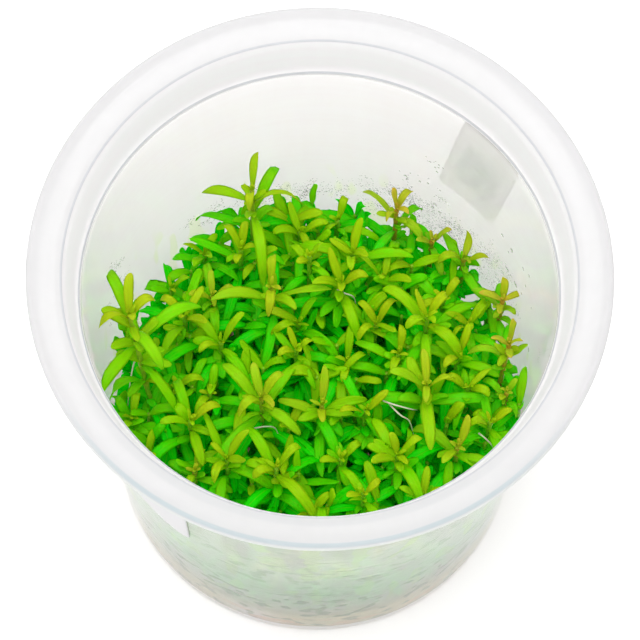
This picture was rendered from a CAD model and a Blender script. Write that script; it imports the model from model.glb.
"""Rotala in its tissue culture cup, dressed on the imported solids.

Sizes are given in millimetres, as in the part's source, and become metres where a
mesh is made. +Z is up and -Y is the side of the cup that faces the viewer.
"""

import logging
import math
from dataclasses import dataclass, field
from enum import Enum

import bpy
import numpy as np
from mathutils import Matrix


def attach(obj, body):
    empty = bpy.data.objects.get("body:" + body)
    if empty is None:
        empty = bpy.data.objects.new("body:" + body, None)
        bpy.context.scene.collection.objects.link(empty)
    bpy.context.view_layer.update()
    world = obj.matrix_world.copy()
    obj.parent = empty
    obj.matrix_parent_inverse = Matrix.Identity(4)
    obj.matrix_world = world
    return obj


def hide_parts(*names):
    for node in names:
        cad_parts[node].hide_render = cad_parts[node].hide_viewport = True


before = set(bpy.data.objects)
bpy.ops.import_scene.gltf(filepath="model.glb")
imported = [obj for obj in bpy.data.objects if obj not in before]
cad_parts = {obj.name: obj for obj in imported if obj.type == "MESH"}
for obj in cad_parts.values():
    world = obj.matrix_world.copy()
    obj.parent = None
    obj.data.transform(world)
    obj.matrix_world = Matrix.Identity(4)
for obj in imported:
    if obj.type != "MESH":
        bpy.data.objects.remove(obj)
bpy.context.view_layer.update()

MM = 0.001
BODY = "root"
LOOK = "look"
LOG = logging.getLogger("rotala")

Vec = np.ndarray
Material = bpy.types.Material
NodeTree = bpy.types.NodeTree
Socket = bpy.types.NodeSocket
Value = Socket | float | tuple


class Slot(Enum):
    """Material slots of the record that the pieces take their finish from."""

    PLASTIC = "cup_plastic"
    GEL = "gel"
    PAPER = "label_paper"
    UNDERGROWTH = "undergrowth"
    ROTALA = "rotala"


# Mesh building


@dataclass
class Batch:
    """Points, quads and looks of many small surfaces, gathered into one mesh.

    A look is four numbers for each point: youth, blush, distance from the midrib and
    distance along the blade, each from 0 to 1.
    """

    points: list[Vec] = field(default_factory=list)
    quads: list[Vec] = field(default_factory=list)
    looks: list[Vec] = field(default_factory=list)
    kinds: list[Vec] = field(default_factory=list)
    count: int = 0

    def add(self, points: Vec, quads: Vec, looks: Vec | None = None, kind: int = 0) -> None:
        """Append one surface.

        Args:
            points: (n, 3) places in millimetres.
            quads: (m, 4) point numbers of the surface's faces.
            looks: (n, 4) looks, or None for zeros.
            kind: number of the material in the piece's list.
        """
        self.points.append(points)
        self.quads.append(quads + self.count)
        self.looks.append(np.zeros((len(points), 4)) if looks is None else looks)
        self.kinds.append(np.full(len(quads), kind))
        self.count += len(points)

    def add_grids(self, grids: Vec, quads: Vec, looks: Vec | None = None) -> None:
        """Append many surfaces that share one layout of faces.

        Args:
            grids: (k, n, 3) places in millimetres.
            quads: (m, 4) point numbers of one surface's faces.
            looks: (k, n, 4) looks, or None for zeros.
        """
        copies, size = grids.shape[:2]
        shifts = np.arange(copies)[:, None, None] * size
        faces = (quads[None] + shifts).reshape(-1, 4)
        flat = None if looks is None else looks.reshape(-1, 4)
        self.add(grids.reshape(-1, 3), faces, flat)

    def piece(self, name: str, materials: list[Material],
              replaced: tuple[str, ...] = ()) -> None:
        """Make the mesh, put it in the scene and let it ride on the cup.

        Args:
            name: name of the piece.
            materials: its materials, in the order of the surfaces' kinds.
            replaced: solids that the piece stands for.
        """
        mesh = bpy.data.meshes.new(name)
        points = np.concatenate(self.points) * MM
        quads = np.concatenate(self.quads)
        mesh.vertices.add(len(points))
        mesh.vertices.foreach_set("co", points.astype(np.float32).ravel())
        mesh.loops.add(quads.size)
        mesh.loops.foreach_set("vertex_index", quads.astype(np.int32).ravel())
        mesh.polygons.add(len(quads))
        mesh.polygons.foreach_set("loop_start", np.arange(0, quads.size, 4, dtype=np.int32))
        mesh.polygons.foreach_set("material_index", np.concatenate(self.kinds).astype(np.int32))
        mesh.update(calc_edges=True)
        looks = mesh.attributes.new(LOOK, "FLOAT_COLOR", "POINT")
        looks.data.foreach_set("color", np.concatenate(self.looks).astype(np.float32).ravel())
        mesh.validate()
        mesh.shade_smooth()
        for material in materials:
            mesh.materials.append(material)
        item = bpy.data.objects.new(name, mesh)
        bpy.context.scene.collection.objects.link(item)
        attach(item, BODY)
        if replaced:
            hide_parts(*replaced)
        LOG.info("%s: %d points, %d faces", name, len(points), len(quads))


def grid_quads(rows: int, columns: int, wrap: bool) -> Vec:
    """Faces of a grid of points that are numbered row by row.

    Args:
        rows: number of rows.
        columns: number of points in a row.
        wrap: True where each row is a closed ring.

    Returns:
        (m, 4) point numbers.
    """
    row = np.arange(rows - 1)[:, None] * columns
    column = np.arange(columns if wrap else columns - 1)[None]
    after = (column + 1) % columns
    quads = np.stack((row + column, row + after, row + columns + after, row + columns + column), axis=-1)
    return quads.reshape(-1, 4)


def cap_quads(around: int, first: int, flip: bool) -> Vec:
    """Faces that close an even ring, as a strip of quads from side to side.

    Args:
        around: number of points on the ring, even.
        first: number of the ring's first point.
        flip: True where the faces look against the ring's turn.

    Returns:
        (around / 2 - 1, 4) point numbers.
    """
    step = np.arange(around // 2 - 1)
    quads = np.stack((step, step + 1, around - 2 - step, around - 1 - step), axis=-1)
    return (quads[:, ::-1] if flip else quads) + first


def tube_quads(rings: int, around: int) -> Vec:
    """Faces of a tube of rings with both ends closed.

    Args:
        rings: number of rings.
        around: number of points on a ring, even.

    Returns:
        (m, 4) point numbers, facing outwards where the rings turn anticlockwise
        seen from the far end.
    """
    return np.concatenate((grid_quads(rings, around, True), cap_quads(around, 0, True),
                           cap_quads(around, (rings - 1) * around, False)))


def unit(vectors: Vec) -> Vec:
    """The same directions with a length of one."""
    return vectors / np.linalg.norm(vectors, axis=-1, keepdims=True)


def at_angle(radius: Vec | float, angle: Vec | float, height: Vec | float) -> Vec:
    """Places by their radius, angle in radians and height, with x, y and z on the last axis."""
    return np.stack(np.broadcast_arrays(radius * np.cos(angle), radius * np.sin(angle), height), axis=-1)


def level_side(angle: Vec) -> Vec:
    """Level directions a quarter turn on from the given angles in radians."""
    return np.stack((-np.sin(angle), np.cos(angle), np.zeros_like(angle)), axis=-1)


def axis_distance(points: Vec) -> Vec:
    """Distance of points from the cup's axis."""
    return np.hypot(points[..., 0], points[..., 1])


def even_turns(around: int) -> Vec:
    """Angles in radians of points spread evenly round a ring."""
    return np.arange(around) * 2 * np.pi / around


def tube(path: Vec, radii: Vec, around: int) -> Vec:
    """Points of a round tube: each ring is a circle across the path's own direction.

    Args:
        path: (k, 3) midline.
        radii: (k,) radius at each point of the midline.
        around: number of points on a ring.

    Returns:
        (k * around, 3) points, ring by ring.
    """
    along = unit(np.gradient(path, axis=0))
    across = unit(np.cross(RING_GUIDE, along))
    other = np.cross(along, across)
    turn = even_turns(around)[None, :, None]
    rings = across[:, None] * np.cos(turn) + other[:, None] * np.sin(turn)
    return (path[:, None] + rings * radii[:, None, None]).reshape(-1, 3)


def smooth_path(points: Vec, count: int) -> Vec:
    """A smooth curve through a few points: each span is a Catmull-Rom cubic.

    Args:
        points: (k, 3) points that the curve passes through.
        count: number of points of the result.

    Returns:
        (count, 3) points, evenly spaced over the spans.
    """
    padded = np.vstack((2 * points[0] - points[1], points, 2 * points[-1] - points[-2]))
    place = np.linspace(0, len(points) - 1, count)
    span = np.minimum(place.astype(int), len(points) - 2)
    t = (place - span)[:, None]
    before, start, end, after = (padded[span + i] for i in range(4))
    return 0.5 * (2 * start + (end - before) * t
                  + (2 * before - 5 * start + 4 * end - after) * t ** 2
                  + (3 * start - before - 3 * end + after) * t ** 3)


# The cup's form


@dataclass(frozen=True)
class CupForm:
    """Driving sizes of the cup, as in the part's source."""

    height: float = 90.0
    rim_radius: float = 50.0
    rim_round: float = 0.8
    flange_inner: float = 44.0
    flange_drop: float = 1.8
    seat_radius: float = 41.3
    seat_height: float = 81.0
    floor_radius: float = 37.3
    floor_top: float = 2.2
    wall: float = 1.0
    corner: float = 3.0
    foot_outer: float = 36.3
    foot_width: float = 2.0
    foot_recess: float = 1.0

    def inner_radius(self, height: Vec | float) -> Vec | float:
        """Inside radius of the wall at a height."""
        share = (height - self.floor_top) / (self.seat_height - self.floor_top)
        return self.floor_radius + (self.seat_radius - self.floor_radius) * share

    def outer_radius(self, height: Vec | float) -> Vec | float:
        """Outside radius of the wall at a height."""
        return self.inner_radius(height) + self.wall


FORM = CupForm()
GAP = 0.3
GEL_TOP = 11.0
STEM_FOOT = GEL_TOP - 2.0
WALL_GAP = 0.12
WALL_SOFTNESS = 0.9
HUB = 0.6
RING_GUIDE = (0.36, 0.93, 0.07)


def arc(center: tuple[float, float], radius: float, start: float, end: float, count: int) -> Vec:
    """Points on an arc of a profile.

    Args:
        center: radius and height of the arc's centre.
        radius: radius of the arc.
        start: first angle in degrees, from the outward direction towards up.
        end: last angle.
        count: number of points.

    Returns:
        (count, 2) radius and height.
    """
    angle = np.radians(np.linspace(start, end, count))
    return np.stack((center[0] + radius * np.cos(angle), center[1] + radius * np.sin(angle)), axis=1)


def line(start: tuple[float, float], end: tuple[float, float], count: int) -> Vec:
    """Points on a straight stretch of a profile, both ends included."""
    return np.linspace(start, end, count)


def turned(profile: Vec, around: int) -> Vec:
    """Points of a turned surface: every profile point goes round the axis at its own radius.

    Args:
        profile: (k, 2) radius and height.
        around: number of points round the axis.

    Returns:
        (k * around, 3) points, ring by ring.
    """
    return at_angle(profile[:, :1], even_turns(around), profile[:, 1:]).reshape(-1, 3)


# The plan of the plantlets, the same as in the part's source

MAT_TOP = 28.0
STEM_WIDTH = 1.1
LEAF_LENGTH = 9.0
LEAF_WIDTH = 2.7
LEAF_THICKNESS = 0.5
LEAF_TIP_WIDTH = 1.2
LEAF_MIDDLE = 0.55
LEAF_DROOP = 0.12
NODE_SPACING = (3.4, 4.6, 5.6)
LOWEST_NODE = 31.0
NODE_LENGTH = (0.6, 0.9, 1.0, 1.0)
NODE_PITCH = (55.0, 28.0, 12.0, 4.0)
LEAF_FLOOR = 29.9
SHOOT_COUNT = 54
SPOT_COUNT = 150
CANOPY_RADIUS = 35.5
CANOPY_HEIGHT = (34.5, 39.5)
GOLDEN_ANGLE = 137.508
SEED = 11


@dataclass(frozen=True)
class Shoot:
    """A plantlet by its growing tip: place and height, turn of its top leaf pair, vigour.

    Blush is how reddish its youngest leaves are, and it changes no shape.
    """

    x: float
    y: float
    top: float
    turn: float = 0.0
    size: float = 1.0
    lean: tuple[float, float] = (0.0, 0.0)
    blush: float = 0.03


@dataclass(frozen=True)
class Leaf:
    """A leaf blade: three points of its midline, its side, half width and node on the stem."""

    points: Vec
    side: Vec
    half_width: float
    node: int


NOTED = (
    Shoot(-34, 3, 58, turn=35, size=1.2, lean=(-3.5, 8), blush=0.15),
    Shoot(-13, 31, 52, turn=85, size=1.05, lean=(0, 2), blush=0.2),
    Shoot(-9, 15, 44, turn=-88, size=1.2, lean=(-1, 3), blush=0.25),
    Shoot(-15, 24, 40, turn=80),
    Shoot(-10, -8, 47, turn=50, size=1.15, blush=0.2),
    Shoot(-23, -11, 42, turn=20, size=1.05),
    Shoot(-7, -20, 43, turn=35, size=1.1),
    Shoot(-22, -19, 37, turn=70, size=0.7, blush=0.2),
    Shoot(-18, 5, 41, turn=40),
    Shoot(-25, 10, 41, turn=-30),
    Shoot(-20, 15, 39, turn=10, size=0.8, blush=0.25),
    Shoot(4, 17, 42, turn=15, size=1.15),
    Shoot(-2, 21, 45, turn=45, size=0.6),
    Shoot(6, 23, 42, turn=80, size=1.2),
    Shoot(14, 31, 45, turn=60, size=0.75, blush=0.75),
    Shoot(21, 28, 38, turn=20, size=0.7, blush=0.6),
    Shoot(27, 24, 39, turn=15, size=0.9, blush=0.3),
    Shoot(20, 9, 46, turn=48, size=1.15),
    Shoot(15, 4, 40, turn=75, size=0.9),
    Shoot(20, -4, 45, turn=2, size=1.25, blush=0.2),
    Shoot(1, -7, 41, turn=85, size=1.05, blush=0.2),
    Shoot(9, -7, 39, turn=30, size=0.9),
    Shoot(15, -17, 43, turn=30, size=1.15),
    Shoot(26, -14, 40, turn=60, blush=0.3),
    Shoot(9, -24, 42, turn=30, size=0.75),
    Shoot(20, -23, 38, turn=5, size=0.85),
    Shoot(35, 4, 46, turn=85, size=0.8, lean=(1, 3), blush=0.6),
    Shoot(34, 14, 43, turn=70, size=0.75, blush=0.75),
    Shoot(32, -9, 40, turn=20, size=0.9),
    Shoot(35, -3, 40, turn=50, size=0.5, blush=0.35),
    Shoot(-34, -9, 37, turn=75, size=0.9),
    Shoot(28, -2, 39, turn=-20),
    Shoot(26, 4, 41, turn=60),
    Shoot(-28, 18, 35, turn=30, size=0.8),
    Shoot(-22, 25, 35, turn=60, size=0.85),
    Shoot(-4, 29, 38, turn=10),
    Shoot(3, 32, 37, turn=65, size=0.9),
    Shoot(-16, -18, 41, turn=60, size=1.1),
    Shoot(-4, 4, 41, turn=25, size=0.7),
    Shoot(12, 20, 38, turn=-20),
)


def segment_gaps(starts: Vec, ends: Vec, other_starts: Vec, other_ends: Vec) -> Vec:
    """Distance between every segment of one set and every segment of another.

    The nearest points of two lines are found first and then held within both segments.

    Args:
        starts: (m, 3) first ends of one set.
        ends: (m, 3) last ends of that set.
        other_starts: (n, 3) first ends of the other set.
        other_ends: (n, 3) last ends of the other set.

    Returns:
        (m, n) distances.
    """
    along = (ends - starts)[:, None]
    other_along = (other_ends - other_starts)[None]
    apart = starts[:, None] - other_starts[None]
    a = (along * along).sum(-1)
    e = (other_along * other_along).sum(-1)
    b = (along * other_along).sum(-1)
    c = (along * apart).sum(-1)
    f = (other_along * apart).sum(-1)
    spread = a * e - b * b
    s = np.clip(np.where(spread > 1e-9, (b * f - c * e) / np.maximum(spread, 1e-9), 0.0), 0.0, 1.0)
    t = np.clip((b * s + f) / e, 0.0, 1.0)
    s = np.clip((b * t - c) / a, 0.0, 1.0)
    return np.linalg.norm(apart + s[..., None] * along - t[..., None] * other_along, axis=-1)


class Thicket:
    """The strands taken so far, each with a radius, so that new growth keeps clear of them."""

    REACH = 24.0

    def __init__(self) -> None:
        """Start with no strands."""
        self.starts = np.zeros((0, 3))
        self.ends = np.zeros((0, 3))
        self.radii = np.zeros(0)
        self.owners = np.zeros(0, int)

    def is_clear(self, starts: Vec, ends: Vec, radius: float, owner: int) -> bool:
        """True where the strands keep the gap to every strand of the other plantlets."""
        near = np.abs(self.starts[:, :2] - starts[0, :2]).max(axis=1) < self.REACH
        others = near & (self.owners != owner)
        if not others.any():
            return True
        gaps = segment_gaps(starts, ends, self.starts[others], self.ends[others])
        return bool((gaps - radius - self.radii[others][None]).min() > GAP)

    def take(self, starts: Vec, ends: Vec, radius: float, owner: int) -> None:
        """Add strands to the thicket."""
        self.starts = np.vstack((self.starts, starts))
        self.ends = np.vstack((self.ends, ends))
        self.radii = np.append(self.radii, np.full(len(starts), radius))
        self.owners = np.append(self.owners, np.full(len(starts), owner))


def sunflower(count: int, radius: float) -> Vec:
    """Places that fill a disc evenly, each a golden angle on from the last one.

    Args:
        count: number of places.
        radius: radius of the disc.

    Returns:
        (count, 2) places, from the middle out.
    """
    steps = np.arange(count) + 0.5
    return at_angle(radius * np.sqrt(steps / count), np.radians(GOLDEN_ANGLE) * steps, 0.0)[:, :2]


def all_shoots() -> list[Shoot]:
    """The noted plantlets, then one more at a time on the barest spot of a sunflower pattern."""
    shoots = list(NOTED)
    rng = np.random.default_rng(SEED)
    spots = sunflower(SPOT_COUNT, CANOPY_RADIUS)
    while len(shoots) < SHOOT_COUNT:
        taken = np.array([(shoot.x, shoot.y) for shoot in shoots])
        apart = np.linalg.norm(spots[:, None] - taken[None], axis=-1).min(axis=1)
        x, y = spots[apart.argmax()]
        shoots.append(Shoot(x, y, rng.uniform(*CANOPY_HEIGHT), turn=rng.uniform(0, 90)))
    return shoots


def stem_levels(shoot: Shoot) -> list[float]:
    """Heights of the leaf nodes of a plantlet, from the top one down."""
    levels = [shoot.top]
    while True:
        step = NODE_SPACING[min(len(levels) - 1, len(NODE_SPACING) - 1)]
        if levels[-1] - step < LOWEST_NODE:
            return levels
        levels.append(levels[-1] - step)


def stem_point(shoot: Shoot, height: float) -> Vec:
    """Point of a plantlet's midline at a height; the stem leans towards its tip."""
    share = (shoot.top - height) / (shoot.top - MAT_TOP)
    return np.array((shoot.x - shoot.lean[0] * share, shoot.y - shoot.lean[1] * share, height))


def blade(shoot: Shoot, node: int, level: float, bearing: float, pitch: float, length: float) -> Leaf:
    """A leaf from its node: it rises at its pitch and its tip droops.

    Args:
        shoot: the plantlet.
        node: number of the node, from the top.
        level: height of the node.
        bearing: direction of the leaf, in degrees from +X.
        pitch: rise of the leaf, in degrees.
        length: length of the leaf.

    Returns:
        The leaf.
    """
    angle = math.radians(bearing)
    rise = math.radians(pitch)
    out = np.array((math.cos(angle), math.sin(angle), 0.0))
    along = out * math.cos(rise) + np.array((0.0, 0.0, math.sin(rise)))
    root = stem_point(shoot, level) + out * STEM_WIDTH / 2
    middle = root + along * length * LEAF_MIDDLE
    tip = root + along * length - np.array((0.0, 0.0, length * LEAF_DROOP))
    side = np.array((-math.sin(angle), math.cos(angle), 0.0))
    half_width = LEAF_WIDTH / 2 * (0.45 + 0.55 * length / LEAF_LENGTH)
    return Leaf(np.array((root, middle, tip)), side, half_width, node)


def blade_strands(leaf: Leaf) -> tuple[Vec, Vec]:
    """Three strands along a leaf, at its midline and near both edges."""
    widths = np.array((STEM_WIDTH / 2, leaf.half_width, LEAF_TIP_WIDTH / 2)) * 0.85
    starts = []
    ends = []
    for across in (-1.0, 0.0, 1.0):
        strand = leaf.points + across * widths[:, None] * leaf.side[None]
        starts.extend(strand[:-1])
        ends.extend(strand[1:])
    return np.array(starts), np.array(ends)


def is_inside(starts: Vec, ends: Vec) -> bool:
    """True where strands stay inside the cup and above the undergrowth."""
    points = np.vstack((starts, ends))
    room = FORM.inner_radius(points[:, 2]) - 2 * GAP - axis_distance(points)
    return bool(room.min() > 0.0 and points[:, 2].min() > LEAF_FLOOR)


def fit_leaf(thicket: Thicket, owner: int, shoot: Shoot, node: int, level: float,
             bearing: float, rank: int, length: float) -> Leaf | None:
    """The first leaf that is clear, over ever larger changes of length, pitch and bearing."""
    for share in (1.0, 0.85, 0.7, 0.55):
        for rise in (0.0, 10.0, -10.0, 22.0, 34.0, 46.0):
            for swing in (0.0, 10.0, -10.0, 20.0, -20.0, 30.0, -30.0):
                pitch = min(80.0, NODE_PITCH[rank] + rise)
                leaf = blade(shoot, node, level, bearing + swing, pitch, length * share)
                starts, ends = blade_strands(leaf)
                if not is_inside(starts, ends):
                    continue
                if thicket.is_clear(starts, ends, LEAF_THICKNESS / 2, owner):
                    thicket.take(starts, ends, LEAF_THICKNESS / 2, owner)
                    return leaf
    return None


def plan_plantlets() -> list[tuple[Shoot, list[Leaf]]]:
    """Every plantlet with its leaves, each leaf turned, raised or shortened until it is clear."""
    thicket = Thicket()
    shoots = all_shoots()
    for owner, shoot in enumerate(shoots):
        foot = stem_point(shoot, MAT_TOP)[None]
        tip = stem_point(shoot, shoot.top + 1.0)[None]
        thicket.take(foot, tip, STEM_WIDTH * 0.7, owner)
    leaves: list[list[Leaf]] = [[] for _ in shoots]
    for node in range(max(len(stem_levels(shoot)) for shoot in shoots)):
        for owner, shoot in enumerate(shoots):
            levels = stem_levels(shoot)
            if node >= len(levels):
                continue
            rank = min(node, len(NODE_LENGTH) - 1)
            for face in (0, 1):
                bearing = shoot.turn + 90 * node + 180 * face
                length = LEAF_LENGTH * NODE_LENGTH[rank] * shoot.size
                leaf = fit_leaf(thicket, owner, shoot, node, levels[node], bearing, rank, length)
                if leaf:
                    leaves[owner].append(leaf)
    return list(zip(shoots, leaves))


# Leaf blades


@dataclass
class Blades:
    """Many leaf blades at once, as whole arrays with one row for each blade."""

    root: Vec
    middle: Vec
    tip: Vec
    side: Vec
    half_width: Vec
    youth: Vec
    blush: Vec
    rng: np.random.Generator
    arch: float = 0.16
    droop: float = 0.35

    STATIONS = np.array((0.0, 0.07, 0.18, 0.32, 0.47, 0.62, 0.76, 0.88, 0.96, 1.0))
    ACROSS = np.array((-1.0, -0.55, 0.0, 0.55, 1.0, 0.0))
    THICK = np.array((0.0, 0.42, 0.3, 0.42, 0.0, -0.5))
    THICKNESS = 0.28
    WIDEST = 0.4
    FOOT = 0.34
    BLUNT_TIP = 0.2
    LENGTHENED = (1.5, 1.24)
    NARROWED = 0.8
    THICK_SHARE = 1.6
    WAVE_HEIGHT = 0.16
    WAVES = 1.4

    @staticmethod
    def from_bearings(root: Vec, bearing: Vec, pitch: Vec, length: Vec, half_width: Vec,
                      youth: Vec, blush: Vec, rng: np.random.Generator) -> "Blades":
        """Blades that leave their roots at a bearing and a pitch.

        Args:
            root: (n, 3) places where the blades leave their stems.
            bearing: (n,) directions in degrees.
            pitch: (n,) rises in degrees.
            length: (n,) lengths.
            half_width: (n,) half widths.
            youth: (n,) how young and bright each blade is.
            blush: (n,) how reddish each blade is.
            rng: source of the small differences.

        Returns:
            The blades.
        """
        angle = np.radians(bearing)
        rise = np.radians(pitch)
        along = at_angle(np.cos(rise), angle, np.sin(rise)) * length[:, None]
        return Blades(root, root + along * LEAF_MIDDLE, root + along, level_side(angle), half_width,
                      youth, blush, rng)

    @staticmethod
    def from_leaves(leaves: list[Leaf], youth: Vec, blush: Vec, rng: np.random.Generator) -> "Blades":
        """Blades on the planned leaves of the solids, longer and narrower, the top pair most."""
        points = np.array([leaf.points for leaf in leaves])
        side = np.array([leaf.side for leaf in leaves])
        half_width = np.array([leaf.half_width for leaf in leaves]) * Blades.NARROWED
        top = np.array([leaf.node for leaf in leaves]) == 0
        stretch = np.where(top, *Blades.LENGTHENED) * rng.uniform(0.78, 1.12, len(leaves))
        root, middle, tip = (points[:, :1] + (points - points[:, :1]) * stretch[:, None, None]).swapaxes(0, 1)
        return Blades(root, middle, tip, side, half_width, youth, blush, rng, arch=0.26, droop=0.6)

    def outline(self, taper: Vec) -> Vec:
        """Half width along each blade as a share.

        Up to the widest place it is a foot plus a raised sine, and all of it is multiplied
        by (1 - t to the taper) to the power 0.62, which draws the blade in to a blunt tip.

        Args:
            taper: (n, 1) power for each blade; a high one gives an oblong, a low one a lance.

        Returns:
            (n, k) shares.
        """
        t = self.STATIONS[None]
        foot = self.FOOT + (1 - self.FOOT) * np.sin(0.5 * np.pi * np.clip(t / self.WIDEST, 0, 1))
        return foot * np.maximum((1 - t ** taper) ** 0.62, self.BLUNT_TIP)

    def grids(self) -> tuple[Vec, Vec]:
        """Points and looks of all blades.

        The midline is a quadratic curve through root, middle and tip, after the middle is
        raised and the tip lowered by a share of the length, and it is bent sideways by a
        curl times the squared place along it. A ring of six points crosses it: both edges,
        three points on top and one below. The top is folded along the midrib by the fold
        times the place across to the power 1.5, its edges wave as a slow sine, and the
        ring is turned about the midline by the roll plus the twist times the place along.

        Returns:
            (n, k, 3) points and (n, k, 4) looks.
        """
        count = len(self.root)
        rng = self.rng
        span = np.linalg.norm(self.tip - self.root, axis=1)[:, None, None]
        arch = (rng.uniform(0, 1, count) * self.arch)[:, None]
        droop = (rng.uniform(0, 1, count) ** 1.5 * self.droop)[:, None]
        upward = np.array((0.0, 0.0, 1.0))[None]
        middle = self.middle + upward * arch * span[:, 0]
        tip = self.tip - upward * droop * span[:, 0]
        fold = rng.uniform(-0.08, 0.5, count)[:, None, None]
        twist = rng.normal(0, 0.32, count)[:, None, None]
        roll = rng.normal(0, 0.22, count)[:, None, None]
        curl = rng.normal(0, 0.09, count)[:, None, None]
        phase = rng.uniform(0, 2 * np.pi, count)[:, None, None]
        shape = self.outline(rng.uniform(3.5, 8.0, count)[:, None])
        t = self.STATIONS[None, :, None]
        control = 2 * middle - (self.root + tip) / 2
        start, bend, end = (a[:, None] for a in (self.root, control, tip))
        midline = (1 - t) ** 2 * start + 2 * t * (1 - t) * bend + t ** 2 * end
        along = 2 * (1 - t) * (bend - start) + 2 * t * (end - bend)
        midline = midline + self.side[:, None] * curl * span * t ** 2
        along = unit(along)
        side = unit(self.side[:, None] - along * (self.side[:, None] * along).sum(2, keepdims=True))
        up = np.cross(along, side)
        turn = roll * np.minimum(1, t * 4) + twist * t
        side, up = (side * np.cos(turn) + up * np.sin(turn), up * np.cos(turn) - side * np.sin(turn))
        width = self.half_width[:, None] * shape
        across = self.ACROSS[None, None]
        shift = width[:, :, None] * across
        thin = np.minimum(1.0, shape * self.THICK_SHARE)[:, :, None]
        wave = self.WAVE_HEIGHT * np.sin(2 * np.pi * self.WAVES * t + phase) * across * np.abs(across)
        lift = (fold * np.abs(across) ** 1.5 + wave) * width[:, :, None] + self.THICKNESS * thin * self.THICK
        points = midline[:, :, None] + side[:, :, None] * shift[..., None] + up[:, :, None] * lift[..., None]
        looks = np.zeros(points.shape[:3] + (4,))
        looks[..., 0] = self.youth[:, None, None]
        looks[..., 1] = self.blush[:, None, None]
        looks[..., 2] = np.abs(across)
        looks[..., 3] = t
        return press_inside(points.reshape(count, -1, 3)), looks.reshape(count, -1, 4)

    def add_to(self, batch: Batch) -> None:
        """Put all blades into a batch."""
        grids, looks = self.grids()
        batch.add_grids(grids, tube_quads(len(self.STATIONS), len(self.ACROSS)), looks)


def press_inside(points: Vec) -> Vec:
    """Bend points that would pass the wall back inside it, and lift those near the floor.

    Past a soft distance from the wall, the rest of the way is used up exponentially.

    Args:
        points: (..., 3) places.

    Returns:
        The same places, all inside the cup.
    """
    radius = axis_distance(points)
    limit = FORM.inner_radius(points[..., 2]) - WALL_GAP - WALL_SOFTNESS
    beyond = np.maximum(radius - limit, 0.0)
    pressed = limit + WALL_SOFTNESS * (1 - np.exp(-beyond / WALL_SOFTNESS))
    share = np.where(beyond > 0, pressed, radius) / np.maximum(radius, 1e-6)
    level = points[..., :2] * share[..., None]
    height = np.maximum(points[..., 2:], FORM.floor_top + FORM.corner)
    return np.concatenate((level, height), axis=-1)


STEEPEST = 84.0
MOST_RAISED = 75.0


def turn_from_wall(root: Vec, bearing: Vec, pitch: Vec, length: Vec) -> Vec:
    """Raise the pitch of blades that would meet the wall.

    Args:
        root: (n, 3) places where the blades start.
        bearing: (n,) directions in degrees.
        pitch: (n,) rises in degrees.
        length: (n,) lengths.

    Returns:
        (n,) new rises in degrees; the more of a blade would pass the wall, the steeper.
    """
    tip = root + at_angle(length * np.cos(np.radians(pitch)), np.radians(bearing), 0.0)
    over = axis_distance(tip) - FORM.inner_radius(root[:, 2]) + 2 * GAP
    share = np.clip(over / np.maximum(length, 0.1), 0.0, 1.0)
    return np.minimum(pitch + MOST_RAISED * share ** 0.7, STEEPEST)


# Stems and plantlets


@dataclass
class StemForm:
    """Sizes of a rotala stem."""

    radius: float = 0.5
    tip_radius: float = 0.33
    swelling: float = 0.4
    swelling_reach: float = 0.55
    blush_reach: float = 0.9
    sides: int = 8
    rings: int = 28

    def add_to(self, batch: Batch, path: Vec, levels: Vec, youth: float, blush: float, kind: int) -> None:
        """Add one stem: a tube that thins towards its tip and swells at its nodes.

        Args:
            batch: where the stem goes.
            path: (k, 3) midline from the foot up.
            levels: heights of its nodes.
            youth: brightness of the stem.
            blush: redness of the stem.
            kind: number of the material.
        """
        share = np.linspace(0, 1, len(path))
        radii = self.radius + (self.tip_radius - self.radius) * share ** 2
        apart = np.abs(path[:, 2][:, None] - np.asarray(levels)[None]).min(axis=1)
        radii = radii * (1 + self.swelling * np.exp(-(apart / self.swelling_reach) ** 2))
        points = press_inside(tube(path, radii, self.sides))
        looks = np.zeros((len(points), 4))
        looks[:, 0] = youth
        nearness = np.exp(-(apart / self.blush_reach) ** 2)
        looks[:, 1] = np.repeat(blush * (0.45 + 0.55 * nearness), self.sides)
        looks[:, 3] = np.repeat(share, self.sides)
        batch.add(points, tube_quads(len(path), self.sides), looks, kind)


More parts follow.
